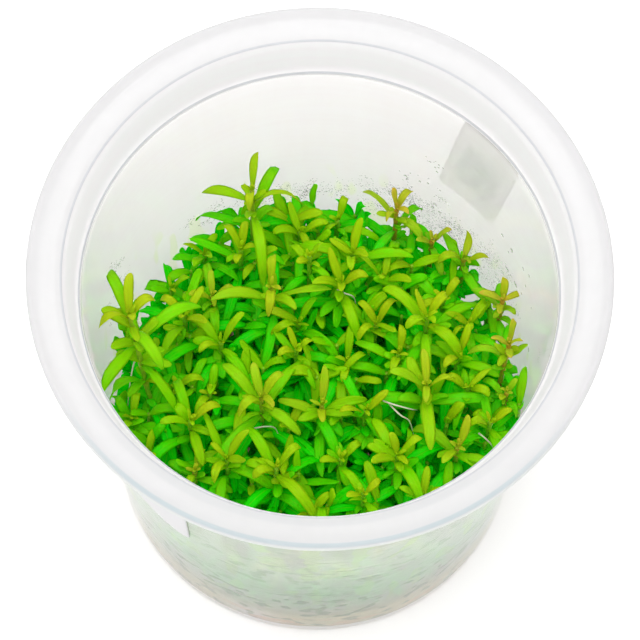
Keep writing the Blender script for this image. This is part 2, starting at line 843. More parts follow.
@dataclass
class Plantlet:
    """One plantlet: a stem from the gel, the planned leaves, a bud and side leaves."""

    number: int
    shoot: Shoot
    leaves: list[Leaf]
    stem: StemForm = field(default_factory=StemForm)

    OLD_HEIGHT = 27.0
    YOUTH_SPAN = 16.0
    BUD_BEARINGS = (90.0, 270.0, 0.0, 180.0)
    BUD_PITCHES = (42.0, 56.0, 74.0, 80.0)
    BUD_HEIGHTS = (0.0, 0.0, 0.35, 0.35)
    BUD_LENGTHS = (6.8, 2.6)
    BUD_YOUTH = 0.92
    SIDE_BEARINGS = (0.0, 180.0, 60.0)

    @property
    def name(self) -> str:
        """Name of the solid that the plantlet stands for."""
        return f"plantlet_{self.number:02d}"

    def build(self, leaf: Material, stem: Material) -> None:
        """Make the plantlet from the finishes of its blades and its stem."""
        rng = np.random.default_rng(SEED * 100 + self.number)
        batch = Batch()
        self.add_stem(batch, rng)
        self.add_leaves(batch, rng)
        self.add_bud(batch, rng)
        self.add_side_leaves(batch, rng)
        batch.piece(f"{self.name}_leaves", [leaf, stem], (self.name,))

    def youth_at(self, height: Vec, node: Vec) -> Vec:
        """Brightness of leaves: the higher in the canopy and the nearer the tip, the younger."""
        high = np.clip((height - self.OLD_HEIGHT) / self.YOUTH_SPAN, 0.0, 1.0)
        return np.clip(0.12 + 0.5 * high + 0.32 * np.exp(-np.asarray(node) / 1.1), 0.0, 1.0)

    def add_stem(self, batch: Batch, rng: np.random.Generator) -> None:
        """Stem from the gel, through the planned points, to the bud."""
        levels = stem_levels(self.shoot)
        knots = [stem_point(self.shoot, height) for height in (MAT_TOP, *levels[::-1])]
        foot = knots[0] + np.array((*rng.normal(0, 1.2, 2), STEM_FOOT - MAT_TOP))
        middle = (foot + knots[0]) / 2 + np.array((*rng.normal(0, 0.6, 2), 0.0))
        top = knots[-1] + np.array((0.0, 0.0, 0.9))
        path = smooth_path(np.array((foot, middle, *knots, top)), self.stem.rings)
        self.stem.add_to(batch, press_inside(path), levels, 0.55, 1.8 * self.shoot.blush, 1)

    def add_leaves(self, batch: Batch, rng: np.random.Generator) -> None:
        """The planned leaves, each with its own fold, twist and curl."""
        count = len(self.leaves)
        node = np.array([leaf.node for leaf in self.leaves])
        height = np.array([leaf.points[2][2] for leaf in self.leaves])
        youth = self.youth_at(height, node) + rng.normal(0, 0.07, count)
        blush = self.shoot.blush * np.exp(-node / 1.5) * rng.uniform(0.5, 1.3, count)
        Blades.from_leaves(self.leaves, np.clip(youth, 0, 1), np.clip(blush, 0, 1), rng).add_to(batch)

    def add_bud(self, batch: Batch, rng: np.random.Generator) -> None:
        """Two pairs of small young leaves that stand at the growing tip."""
        tip = stem_point(self.shoot, self.shoot.top) + np.array((0.0, 0.0, 0.7))
        bearing = self.shoot.turn + np.array(self.BUD_BEARINGS) + rng.normal(0, 16, 4)
        pitch = np.array(self.BUD_PITCHES) + rng.normal(0, 12, 4)
        outer = rng.choice(self.BUD_LENGTHS)
        length = np.array((outer, outer * 0.85, 2.4, 2.1)) * self.shoot.size ** 0.5
        length = length * rng.uniform(0.8, 1.15, 4)
        root = tip + np.outer(self.BUD_HEIGHTS, (0.0, 0.0, 1.0))
        blush = np.full(4, min(1.0, self.shoot.blush * 1.4))
        youth = self.BUD_YOUTH + rng.normal(0, 0.05, 4)
        Blades.from_bearings(root, bearing, pitch, length, length * 0.09 + 0.18, np.clip(youth, 0, 1), blush,
                             rng).add_to(batch)

    def add_side_leaves(self, batch: Batch, rng: np.random.Generator) -> None:
        """Short leaves of the side buds, in the axils of the lower nodes."""
        levels = np.array(stem_levels(self.shoot)[1:])
        if not len(levels):
            return
        each = len(self.SIDE_BEARINGS)
        root = np.array([stem_point(self.shoot, level + 0.5) for level in levels]).repeat(each, axis=0)
        count = len(root)
        node = np.arange(1, len(levels) + 1).repeat(each)
        bearing = self.shoot.turn + 90 * node + np.tile(self.SIDE_BEARINGS, len(levels))
        bearing = bearing + rng.normal(0, 24, count)
        length = rng.uniform(3.2, 6.6, count) * self.shoot.size
        pitch = turn_from_wall(root, bearing, rng.uniform(22, 62, count), length)
        youth = np.clip(self.youth_at(root[:, 2], node) + 0.12, 0, 1)
        Blades.from_bearings(root, bearing, pitch, length, length * 0.16, youth,
                             np.full(count, self.shoot.blush * 0.3), rng).add_to(batch)


@dataclass
class Undergrowth:
    """The mass of low shoots between the plantlets, from the gel up."""

    count: int = 230
    radius: float = 37.2
    tops: tuple[float, float] = (25.0, 37.0)
    lowest: float = 12.0
    spacing: float = 4.2
    leaf_length: float = 8.4
    top_share: float = 0.78
    pitches: tuple[float, float] = (42.0, 14.0)
    youth_from: float = 22.0
    youth_span: float = 18.0
    old_below: float = 17.5
    seed: int = 5
    stem: StemForm = field(default_factory=lambda: StemForm(rings=10, sides=6))

    def build(self, leaf: Material, stem: Material) -> None:
        """Make the shoots in two pieces, the inner and the outer ones.

        Args:
            leaf: finish of the blades.
            stem: finish of the stems.
        """
        rng = np.random.default_rng(self.seed)
        spots = sunflower(self.count, self.radius) + rng.normal(0, 0.9, (self.count, 2))
        tops = rng.uniform(*self.tops, self.count)
        half = self.count // 2
        for name, chosen, replaced in (("undergrowth_inner", slice(0, half), ("undergrowth",)),
                                       ("undergrowth_outer", slice(half, None), ())):
            batch = Batch()
            self.add_shoots(batch, spots[chosen], tops[chosen], rng)
            batch.piece(name, [leaf, stem], replaced)

    def add_shoots(self, batch: Batch, spots: Vec, tops: Vec, rng: np.random.Generator) -> None:
        """Stems and crossed leaf pairs of some shoots.

        Args:
            batch: where they go.
            spots: (n, 2) places of the stems.
            tops: (n,) heights of their tips.
            rng: source of their differences.
        """
        nodes = int((self.tops[1] - self.lowest) / self.spacing) + 1
        turn = rng.uniform(0, 90, len(spots))
        roots, bearings, ranks = [], [], []
        for node in range(nodes):
            height = tops - node * self.spacing * rng.uniform(0.9, 1.1, len(spots))
            kept = height > self.lowest
            place = np.column_stack((spots[kept], height[kept]))
            for face in (0, 180):
                roots.append(place)
                bearings.append(turn[kept] + 90 * node + face + rng.normal(0, 20, kept.sum()))
                ranks.append(np.full(kept.sum(), node))
        root = np.concatenate(roots)
        bearing = np.concatenate(bearings)
        rank = np.concatenate(ranks)
        count = len(root)
        length = self.leaf_length * np.where(rank == 0, self.top_share, 1.0) * rng.uniform(0.7, 1.3, count)
        pitch = np.where(rank == 0, *self.pitches) + rng.normal(0, 15, count)
        pitch = turn_from_wall(root, bearing, pitch, length)
        young = (root[:, 2] - self.youth_from) / self.youth_span
        youth = np.clip(young + rng.normal(0.0, 0.1, count), 0, 1)
        old = np.clip((self.old_below - root[:, 2]) / 4, 0, 1) * rng.uniform(0, 1, count) ** 2
        Blades.from_bearings(root, bearing, pitch, length, length * 0.09 + 0.3, youth, old,
                             rng).add_to(batch)
        for spot, top in zip(spots, tops):
            foot = np.array((*(spot + rng.normal(0, 0.8, 2)), STEM_FOOT))
            path = smooth_path(np.array((foot, (*spot, top * 0.6 + foot[2] * 0.4), (*spot, top + 0.6))),
                               self.stem.rings)
            levels = top - np.arange(nodes) * self.spacing
            self.stem.add_to(batch, press_inside(path), levels, 0.4, 0.08, 1)


# Roots, gel, cup, labels and water


@dataclass
class Roots:
    """Thin white roots: a few in the air among the shoots and many in the gel."""

    radius: float = 0.17
    sides: int = 6
    gel_count: int = 90
    gel_reach: float = 35.4
    seed: int = 21

    AIR = (
        ((-33.0, 0.5, 45.5), (-35.6, -0.2, 45.6), (-38.0, -0.6, 44.6), (-38.6, -1.4, 42.0)),
        ((-33.2, 0.2, 45.2), (-34.0, -0.8, 42.5), (-34.8, -3.6, 37.5), (-35.2, -5.2, 33.0)),
        ((-11.5, -10.5, 38.0), (-9.4, -10.2, 38.4), (-7.6, -10.0, 37.2), (-6.5, -11.0, 33.5)),
        ((12.2, -5.2, 40.2), (14.6, -6.2, 40.8), (17.4, -6.6, 40.0), (18.6, -6.0, 38.0)),
        ((13.0, -5.0, 39.2), (15.4, -7.6, 39.6), (17.2, -8.2, 38.0), (18.2, -9.5, 34.0)),
        ((30.0, -10.2, 38.0), (31.2, -11.0, 37.6), (32.6, -12.0, 36.4), (33.4, -12.6, 33.0)),
        ((3.2, 16.8, 40.0), (4.8, 16.2, 39.8), (6.4, 16.0, 38.6), (7.0, 15.4, 35.0)),
    )

    def build(self, material: Material) -> None:
        """Make the roots in the air and those in the gel."""
        air = Batch()
        for route in self.AIR:
            self.add_root(air, np.array(route), 22, self.radius)
        rng = np.random.default_rng(self.seed)
        gel = Batch()
        for _ in range(self.gel_count):
            self.add_root(gel, self.gel_route(rng), 12, self.radius * rng.uniform(0.6, 1.1))
        air.piece("air_roots", [material])
        gel.piece("gel_roots", [material])

    def gel_route(self, rng: np.random.Generator) -> Vec:
        """A root that goes down and out through the gel."""
        radius = (self.gel_reach - 0.4) * math.sqrt(rng.uniform(0.02, 1.0))
        knots = [at_angle(radius, rng.uniform(0, 2 * math.pi), GEL_TOP - 0.5)]
        for drop in (2.2, 2.2, 1.8, 1.0):
            knots.append(knots[-1] + (*rng.normal(0, 1.8, 2), -drop))
        knots = np.array(knots)
        share = np.minimum(1.0, self.gel_reach / np.maximum(axis_distance(knots), 0.1))
        knots[:, :2] *= share[:, None]
        knots[:, 2] = np.maximum(knots[:, 2], FORM.floor_top + GAP + 0.5)
        return knots

    def add_root(self, batch: Batch, knots: Vec, rings: int, radius: float) -> None:
        """One root: a tube that thins to its tip."""
        radii = radius * (1 - 0.6 * np.linspace(0, 1, rings) ** 2)
        batch.add(tube(smooth_path(knots, rings), radii, self.sides), tube_quads(rings, self.sides))


@dataclass
class Gel:
    """Nutrient gel: a disc with a soft uneven top that creeps up at the wall."""

    around: int = 96
    rings: int = 14
    creep: float = 0.25
    creep_reach: float = 0.8
    unevenness: float = 0.12
    waves: tuple[float, float] = (0.31, 0.27)

    def build(self, material: Material) -> None:
        """Make the gel."""
        edge = FORM.inner_radius(GEL_TOP) - GAP
        corner = (FORM.inner_radius(FORM.floor_top + FORM.corner) - FORM.corner,
                  FORM.floor_top + FORM.corner)
        bottom = FORM.floor_top + GAP
        under = line((HUB, bottom), (corner[0], bottom), self.rings)[:-1]
        side = np.vstack((arc(corner, FORM.corner - GAP, -90, 0, 7),
                          line((FORM.inner_radius(6.0) - GAP, 6.0), (edge, GEL_TOP), 5)))
        top = line((edge, GEL_TOP), (HUB, GEL_TOP), self.rings)[1:]
        profile = np.vstack((under, side, top))
        points = turned(profile, self.around)
        high = points[:, 2] > GEL_TOP - 0.01
        wave = np.sin(points[:, 0] * self.waves[0] + 1.0) * np.cos(points[:, 1] * self.waves[1])
        creep = self.creep * np.exp((axis_distance(points) - edge) / self.creep_reach)
        rise = self.unevenness * (wave - 1) + creep
        points[:, 2] += np.where(high, np.minimum(rise, 0.1), 0.0)
        batch = Batch()
        batch.add(points, tube_quads(len(profile), self.around)[:, ::-1])
        batch.piece("gel_block", [material], ("gel",))


@dataclass
class CupShell:
    """The moulded cup, with round edges, a flange, a lid seat and a foot ring."""

    around: int = 192
    wobble: float = 0.05

    def profile(self) -> Vec:
        """Profile of the shell, from the floor's middle up the inside and down the outside.

        Returns:
            (k, 2) radius and height.
        """
        f = FORM
        inner = (f.inner_radius(f.floor_top + f.corner) - f.corner, f.floor_top + f.corner)
        outer = (f.outer_radius(f.corner) - f.corner, f.corner)
        lip, lip_height = f.rim_radius - f.rim_round, f.height - f.rim_round
        seat, seat_height = f.seat_radius, f.seat_height
        flange, flange_height = f.flange_inner, f.height - f.flange_drop
        foot = f.foot_outer - f.foot_width
        low, high, below_seat = 8.0, seat_height - 0.5, seat_height - 3.0
        return np.vstack((
            line((HUB, f.floor_top), (inner[0], f.floor_top), 10)[:-1],
            arc(inner, f.corner, -90, 0, 9),
            line((f.inner_radius(low), low), (f.inner_radius(high), high), 22),
            arc((seat + 0.42, seat_height - 0.25), 0.35, 170, 95, 4),
            line((seat + 0.75, seat_height + 0.35), (flange - 0.45, flange_height - 0.6), 7),
            arc((flange + 0.4, flange_height - 0.5), 0.65, 165, 110, 5),
            line((flange + 0.8, flange_height + 0.25), (lip - 0.5, f.height - 0.13), 6),
            arc((lip, lip_height), f.rim_round, 100, -75, 14),
            line((lip - 0.9, f.height - 1.62), (flange + 1.6, flange_height - 0.78), 4),
            arc((flange + 1.7, flange_height - 1.36), 0.6, 105, 165, 4),
            line((seat + f.wall + 0.5, seat_height - 0.2), (seat + f.wall + 0.15, seat_height - 1.2), 4),
            line((f.outer_radius(below_seat), below_seat), (f.outer_radius(low), low), 22),
            arc(outer, f.corner, 0, -62, 8),
            arc((f.foot_outer - 0.4, 0.4), 0.4, -20, -90, 4),
            arc((foot + 0.4, 0.4), 0.4, -90, -150, 4),
            line((foot - f.foot_recess, f.foot_recess), (HUB, f.foot_recess), 8),
        ))

    def build(self, plastics: list[Material]) -> None:
        """Make the cup.

        The surface is the turned profile. Its wall swells in and out by the wobble times
        a slow wave round the cup and up it, as on thin moulded plastic.

        Args:
            plastics: finishes of the milky inside, the clear outside, the flange and the seat.
        """
        profile = self.profile()
        points = turned(profile, self.around)
        angle = np.arctan2(points[:, 1], points[:, 0])
        height = points[:, 2]
        on_wall = np.clip((height - 8) / 10, 0, 1) * np.clip((FORM.seat_height - 2 - height) / 10, 0, 1)
        swell = self.wobble * np.sin(3 * angle + 0.06 * height) * np.cos(0.11 * height + 2 * angle)
        points[:, :2] *= (1 + swell * on_wall / np.maximum(axis_distance(points), 1.0))[:, None]
        quads = tube_quads(len(profile), self.around)[:, ::-1]
        batch = Batch()
        batch.add(points, quads)
        batch.kinds = [self.finish_numbers(points, quads)]
        batch.piece("cup_shell", plastics, ("cup",))

    def finish_numbers(self, points: Vec, quads: Vec) -> Vec:
        """Number of the finish of every face.

        The milk of the plastic is put on one side only, the inside of the wall and the top
        of the seat and the flange, so that the other side adds gloss and no veil.

        Args:
            points: (n, 3) points of the shell.
            quads: (m, 4) its faces.

        Returns:
            (m,) numbers: 0 milky, 1 clear, 2 flange, 3 seat.
        """
        corner = points[quads]
        middle = corner.mean(axis=1)
        radius = axis_distance(middle)
        height = middle[:, 2]
        normal = np.cross(corner[:, 2] - corner[:, 0], corner[:, 3] - corner[:, 1])
        outward = (normal[:, :2] * middle[:, :2]).sum(axis=1) > 0
        up = normal[:, 2] > 0
        high = height > FORM.seat_height - 0.4
        flange = high & (radius > FORM.flange_inner) & (up | (radius > FORM.rim_radius - 2.0))
        seat = high & ~flange & up
        inside = ~high & ~outward & (height > FORM.floor_top - 0.1)
        return np.select((flange, seat, inside), (2, 3, 0), 1)


@dataclass
class Label:
    """A bare paper label bent round the outside of the wall, with round corners."""

    name: str
    bearing: float
    half_width: float
    skew: float
    low: float
    high: float
    thickness: float = 0.2
    gap: float = 0.04
    corner: float = 1.6
    columns: int = 24
    rows: int = 28

    def build(self, material: Material) -> None:
        """Make the label: two sheets a thickness apart, joined round their edge.

        A square grid is squeezed into a rectangle with round corners: near a corner the
        rows get shorter, as the corner's circle asks.

        Args:
            material: its finish.
        """
        u = np.linspace(-1, 1, self.columns)
        v = np.linspace(0, 1, self.rows)
        tall = self.high - self.low
        wide = math.radians(self.half_width) * FORM.outer_radius((self.low + self.high) / 2)
        short = np.maximum(self.corner - np.minimum(v, 1 - v) * tall, 0)
        cut = self.corner - np.sqrt(np.maximum(self.corner ** 2 - short ** 2, 0))
        across = u[None] * (1 - cut / wide)[:, None]
        angle = np.radians(self.bearing + self.half_width * across - self.skew * (2 * v - 1)[:, None])
        height = (self.low + tall * v)[:, None]
        sheets = [at_angle(FORM.outer_radius(height) + lift, angle, height).reshape(-1, 3)
                  for lift in (self.gap, self.gap + self.thickness)]
        size = self.rows * self.columns
        face = grid_quads(self.rows, self.columns, False)
        numbers = np.arange(size).reshape(self.rows, self.columns)
        edge = np.concatenate((numbers[0, :-1], numbers[:-1, -1], numbers[-1, :0:-1], numbers[:0:-1, 0]))
        after = np.roll(edge, -1)
        rim = np.stack((edge, after, after + size, edge + size), axis=-1)
        looks = np.zeros((2 * size, 4))
        looks[:, 2] = np.tile(np.abs(u), 2 * self.rows)
        looks[:, 3] = np.tile(np.repeat(v, self.columns), 2)
        batch = Batch()
        batch.add(np.vstack(sheets), np.concatenate((face[:, ::-1], face + size, rim)), looks)
        batch.piece(f"{self.name}_sheet", [material], (self.name,))


@dataclass(frozen=True)
class DropPatch:
    """A patch of condensation on the inside of the wall."""

    bearing: float
    spread: float
    low: float
    high: float
    count: int
    radius: tuple[float, float] = (0.06, 0.17)
    crowd: int = 24

    def places(self, rng: np.random.Generator) -> tuple[Vec, Vec]:
        """Bearings and heights of the drops, which crowd round some middles."""
        crowds = self.count // self.crowd + 1
        middle = rng.integers(0, crowds, self.count)
        bearing = rng.normal(self.bearing, self.spread * 0.6, crowds)[middle] + rng.normal(0, 1.3, self.count)
        height = rng.uniform(self.low, self.high, crowds)[middle] + rng.normal(0, 0.9, self.count)
        return bearing, height

    def sizes(self, rng: np.random.Generator) -> Vec:
        """Radii of the drops, most of them near the smallest."""
        small, large = self.radius
        return small + (large - small) * rng.uniform(0, 1, self.count) ** 2


@dataclass
class Condensation:
    """Small water drops on the inside of the wall: flat domes, most of them tiny."""

    seed: int = 8
    around: int = 6
    climbs: tuple[float, ...] = (0.0, 40.0, 76.0)
    flatness: float = 0.2
    wall_gap: float = 0.08

    PATCHES = (
        DropPatch(68, 10, 31, 43, 900),
        DropPatch(52, 10, 31, 43, 1300),
        DropPatch(36, 10, 33, 48, 900),
        DropPatch(92, 13, 33, 40, 700),
        DropPatch(122, 11, 34, 41, 180),
        DropPatch(160, 9, 42, 57, 260, (0.07, 0.2)),
        DropPatch(-90, 60, 12, 50, 900, (0.09, 0.22)),
        DropPatch(0, 180, 14, 60, 500, (0.06, 0.18)),
        DropPatch(62, 9, 44, 62, 40, (0.14, 0.35), 4),
        DropPatch(26, 16, 40, 58, 14, (0.3, 0.6), 1),
        DropPatch(57, 3, 38, 42, 3, (0.4, 0.6)),
    )

    def build(self, material: Material) -> None:
        """Make the drops.

        A drop is a half ellipsoid: rings of points at rising shares of a quarter turn,
        the first on the wall and the last round the top, closed at both ends.

        Args:
            material: finish of the water.
        """
        rng = np.random.default_rng(self.seed)
        places = [patch.places(rng) for patch in self.PATCHES]
        bearing, height = (np.concatenate(part) for part in zip(*places))
        radius = np.concatenate([patch.sizes(rng) for patch in self.PATCHES])
        angle = np.radians(bearing)
        middle = at_angle(FORM.inner_radius(height) - self.wall_gap, angle, height)[:, None]
        outward = at_angle(1.0, angle, 0.0)[:, None]
        side = level_side(angle)[:, None]
        stretch = rng.uniform(0.9, 1.5, len(angle))[:, None, None]
        turn = even_turns(self.around)[None, :, None]
        ring = side * np.cos(turn) + np.array((0.0, 0.0, 1.0)) * np.sin(turn) * stretch
        rings = []
        for climb in np.radians(self.climbs):
            wide = (radius * np.cos(climb))[:, None, None]
            lift = (radius * self.flatness * np.sin(climb))[:, None, None]
            rings.append(middle + ring * wide - outward * lift)
        grids = np.concatenate(rings, axis=1)
        batch = Batch()
        batch.add_grids(grids, tube_quads(len(self.climbs), self.around)[:, ::-1])
        batch.piece("water_drops", [material])


# Materials

# Spans of y, in metres, over which marks on the wall and rings on the rim fade out to the back
WALL_FRONT = (-0.030, -0.016)
RIM_FRONT = (-0.042, -0.022)


def rgb(red: float, green: float, blue: float) -> tuple[float, float, float, float]:
    """An opaque linear colour."""
    return (red, green, blue, 1.0)


class Nodes:
    """A thin helper that adds nodes to a tree and links them."""

    def __init__(self, tree: NodeTree) -> None:
        """Work on one node tree."""
        self.tree = tree

    def fill(self, node: bpy.types.Node, values: dict[str | int, Value]) -> None:
        """Set a node's sockets, by name or number, to plain values or to outputs to link."""
        for key, value in values.items():
            if isinstance(value, Socket):
                self.tree.links.new(value, node.inputs[key])
            else:
                node.inputs[key].default_value = value

    def add(self, kind: str, values: dict[str | int, Value] | None = None,
            **settings: object) -> bpy.types.Node:
        """Add a node.

        Args:
            kind: Blender's name of the node type.
            values: what its sockets are set to.
            settings: the node's own properties.

        Returns:
            The new node.
        """
        node = self.tree.nodes.new(kind)
        for key, value in settings.items():
            setattr(node, key, value)
        self.fill(node, values or {})
        return node

    def math(self, operation: str, first: Value, second: Value = 0.0, clamp: bool = False) -> Socket:
        """The result of a Math node."""
        return self.add("ShaderNodeMath", {0: first, 1: second}, operation=operation,
                        use_clamp=clamp).outputs[0]

    def plus(self, first: Value, second: Value, clamp: bool = False) -> Socket:
        """The sum of two values."""
        return self.math("ADD", first, second, clamp)

    def minus(self, first: Value, second: Value) -> Socket:
        """The difference of two values."""
        return self.math("SUBTRACT", first, second)

    def times(self, first: Value, second: Value, clamp: bool = False) -> Socket:
        """The product of two values."""
        return self.math("MULTIPLY", first, second, clamp)

    def mix(self, factor: Value, first: Value, second: Value) -> Socket:
        """The colour result of a Mix node."""
        return self.add("ShaderNodeMix", {0: factor, 6: first, 7: second}, data_type="RGBA",
                        clamp_factor=True).outputs[2]

    def ramp(self, factor: Socket, stops: tuple[tuple[float, tuple], ...]) -> Socket:
        """The colour of a ramp with the given stops."""
        node = self.add("ShaderNodeValToRGB", {0: factor})
        elements = node.color_ramp.elements
        while len(elements) < len(stops):
            elements.new(0.5)
        for element, (place, color) in zip(elements, stops):
            element.position = place
            element.color = color
        return node.outputs[0]

    def span(self, value: Socket, low: float, high: float, to_low: float, to_high: float,
             smooth: bool = False) -> Socket:
        """A value carried from one range to another and held there."""
        return self.add("ShaderNodeMapRange", {0: value, 1: low, 2: high, 3: to_low, 4: to_high},
                        interpolation_type="SMOOTHSTEP" if smooth else "LINEAR").outputs[0]

    def fade_in(self, value: Socket, low: float, high: float) -> Socket:
        """0 up to the low value and 1 from the high one on, with a soft step between them."""
        return self.span(value, low, high, 0.0, 1.0, True)

    def fade_out(self, value: Socket, low: float, high: float) -> Socket:
        """1 up to the low value and 0 from the high one on, with a soft step between them."""
        return self.span(value, low, high, 1.0, 0.0, True)

    def object_place(self) -> Socket:
        """Object coordinates, in metres."""
        return self.add("ShaderNodeTexCoord").outputs["Object"]

    def coordinate(self, place: Socket, axis: int) -> Socket:
        """One coordinate of a place: 0 is x, 1 is y and 2 is z."""
        return self.add("ShaderNodeSeparateXYZ", {0: place}).outputs[axis]

    def length(self, place: Socket) -> Socket:
        """Distance of a place from the middle."""
        return self.add("ShaderNodeVectorMath", {0: place}, operation="LENGTH").outputs["Value"]

    def noise(self, place: Socket, scale: Value, detail: float) -> Socket:
        """Noise around one half, of a scale in cycles for each metre."""
        return self.add("ShaderNodeTexNoise", {"Vector": place, "Scale": scale,
                                               "Detail": detail}).outputs[0]

    def stretched_noise(self, place: Socket, scale: tuple[float, float, float], detail: float,
                        turn: tuple[float, float, float] = (0.0, 0.0, 0.0)) -> Socket:
        """Noise with its own scale along each axis, turned by three angles."""
        own = self.add("ShaderNodeMapping", {"Vector": place, "Rotation": turn, "Scale": scale})
        return self.noise(own.outputs[0], 1.0, detail)

    def bump(self, height: Socket, strength: float, depth: float) -> Socket:
        """The normal of a relief with a depth in metres."""
        return self.add("ShaderNodeBump", {"Strength": strength, "Distance": depth,
                                           "Height": height}).outputs[0]

    def effect(self, group: NodeTree, **values: float) -> bpy.types.Node:
        """A shared effect in object coordinates, with its other inputs by name."""
        return self.add("ShaderNodeGroup", {"Vector": self.object_place(), **values}, node_tree=group)


class Surface(Nodes):
    """A new material: its nodes, with its Principled shader."""

    def __init__(self, name: str) -> None:
        """Make the material."""
        self.material = bpy.data.materials.new(name)
        self.material.use_nodes = True
        super().__init__(self.material.node_tree)
        self.shader = self.tree.nodes["Principled BSDF"]

    def look(self) -> tuple[Socket, Socket, Socket, Socket]:
        """The numbers of a point's look: youth, blush, across the blade and along it."""
        look = self.add("ShaderNodeAttribute", attribute_name=LOOK)
        parts = self.add("ShaderNodeSeparateColor", {0: look.outputs["Color"]})
        return parts.outputs[0], parts.outputs[1], parts.outputs[2], look.outputs["Alpha"]

    def shade(self, values: dict[str | int, Value]) -> None:
        """Set the shader's sockets."""
        self.fill(self.shader, values)

    def let_through(self, share: float, values: dict[str | int, Value]) -> None:
        """Mix the shader with one for light that comes through scattered, by its share."""
        lit = self.add("ShaderNodeBsdfTranslucent", values)
        both = self.add("ShaderNodeMixShader", {0: share, 1: self.shader.outputs[0], 2: lit.outputs[0]})
        self.fill(self.tree.nodes["Material Output"], {"Surface": both.outputs[0]})


class Effect(Nodes):
    """A new shared group: its nodes, with its Vector and its other inputs."""

    def __init__(self, name: str, outputs: tuple[str, ...], **inputs: float) -> None:
        """Make the group with its sockets.

        Args:
            name: name of the group.
            outputs: names of the numbers that it puts out.
            inputs: numbers that it takes beside Vector, with their usual values.
        """
        super().__init__(bpy.data.node_groups.new(name, "ShaderNodeTree"))
        face = self.tree.interface
        face.new_socket("Vector", in_out="INPUT", socket_type="NodeSocketVector")
        for label, usual in inputs.items():
            face.new_socket(label, in_out="INPUT", socket_type="NodeSocketFloat").default_value = usual
        for label in outputs:
            face.new_socket(label, in_out="OUTPUT", socket_type="NodeSocketFloat")
        self.source = self.add("NodeGroupInput")
        self.place = self.source.outputs["Vector"]

    def close(self, results: dict[str, Socket]) -> NodeTree:
        """Put the results out, and give the finished group."""
        self.add("NodeGroupOutput", results)
        return self.tree


def mottle_group() -> NodeTree:
    """Shared effect: soft blotches with fine grain on them.

    The blotches are noise of the given size, and the grain is noise seven times finer,
    added at a third of the strength.

    Returns:
        A group with Vector, Size and Contrast in, and Value out, around one half.
    """
    nodes = Effect("mottle", ("Value",), Size=0.003, Contrast=1.0)
    scale = nodes.math("DIVIDE", 1.0, nodes.source.outputs["Size"])
    coarse = nodes.noise(nodes.place, scale, 2.0)
    fine = nodes.noise(nodes.place, nodes.times(scale, 7.0), 1.0)
    both = nodes.plus(nodes.times(coarse, 0.75), nodes.times(fine, 0.25))
    away = nodes.times(nodes.minus(both, 0.5), nodes.source.outputs["Contrast"])
    return nodes.close({"Value": nodes.plus(away, 0.5, clamp=True)})


def moulding_group() -> NodeTree:
    """Shared effect: drawn lines, fine haze and scratches of thin moulded plastic.

    Noise stretched round the axis makes level lines, noise stretched up the wall makes
    drag marks, and fine noise makes haze. The peaks of a long, thin noise are scratches,
    on the front only.

    Returns:
        A group with Vector in, and Lines and Haze out, each around one half, and
        Scratches out, from 0 to 1.
    """
    nodes = Effect("moulding", ("Lines", "Haze", "Scratches"))
    level = nodes.stretched_noise(nodes.place, (30.0, 30.0, 900.0), 2.0)
    drag = nodes.stretched_noise(nodes.place, (420.0, 420.0, 22.0), 2.0)
    thin = nodes.stretched_noise(nodes.place, (110.0, 110.0, 2200.0), 0.0, (0.05, 0.04, 0.0))
    return nodes.close({
        "Lines": nodes.plus(nodes.times(level, 0.6), nodes.times(drag, 0.4)),
        "Haze": nodes.noise(nodes.place, 1400.0, 2.0),
        "Scratches": nodes.times(nodes.span(thin, 0.74, 0.79, 0.0, 1.0),
                                 nodes.fade_out(nodes.coordinate(nodes.place, 1), *WALL_FRONT)),
    })


@dataclass(frozen=True)
class LeafPrint:
    """A leaf that lies flat on the front of the wall: its middle, half sizes and lean."""

    x: float
    height: float
    half_width: float
    half_height: float
    lean: float = 0.0

    def mask(self, nodes: Nodes, place: Socket, ragged: Socket) -> Socket:
        """Strength of the print: an ellipse that fades at its rim, shifted by the ragged noise."""
        own = nodes.add("ShaderNodeMapping", {
            "Vector": place, "Rotation": (0.0, self.lean, 0.0),
            "Location": (self.x * MM, 0.0, self.height * MM),
            "Scale": (self.half_width * MM, 1.0, self.half_height * MM)}, vector_type="TEXTURE")
        return nodes.fade_out(nodes.plus(nodes.length(own.outputs[0]), ragged), 0.75, 1.15)


@dataclass(frozen=True)
class WallMark:
    """One sort of mark on the wall: stretched noise past a limit, within a window of heights."""

    name: str
    scale: tuple[float, float, float]
    turn: tuple[float, float, float]
    limits: tuple[float, float]
    window: tuple[float, float, float, float]
    color: tuple
    strength: float
    front: bool = False


SHADE = rgb(0.24, 0.36, 0.17)
WALL_MARKS = (
    WallMark("Stain", (60.0, 60.0, 60.0), (0.0, 0.0, 0.0), (0.2, 0.5), (1.0, 3.0, 9.0, 20.0),
             rgb(0.84, 0.80, 0.50), 0.9),
    WallMark("Murk", (170.0, 170.0, 50.0), (0.1, 0.05, 0.0), (0.36, 0.60), (36.0, 54.0, 82.0, 90.0),
             rgb(0.77, 0.68, 0.68), 0.8, True),
    WallMark("Pale", (300.0, 300.0, 110.0), (0.15, 0.1, 0.0), (0.58, 0.66), (14.0, 22.0, 36.0, 50.0),
             rgb(0.90, 1.0, 0.55), 0.6),
    WallMark("Dash", (330.0, 330.0, 480.0), (0.0, 0.3, 0.0), (0.59, 0.66), (22.0, 34.0, 42.0, 62.0),
             SHADE, 0.45, True),
    WallMark("Shade", (360.0, 360.0, 500.0), (0.0, 0.2, 0.0), (0.56, 0.64), (3.0, 6.0, 22.0, 34.0),
             SHADE, 0.85, True),
    WallMark("Dead", (150.0, 150.0, 330.0), (0.0, 0.0, 0.4), (0.55, 0.61), (1.0, 3.0, 7.0, 11.0),
             rgb(1.0, 0.64, 0.38), 0.6),
)

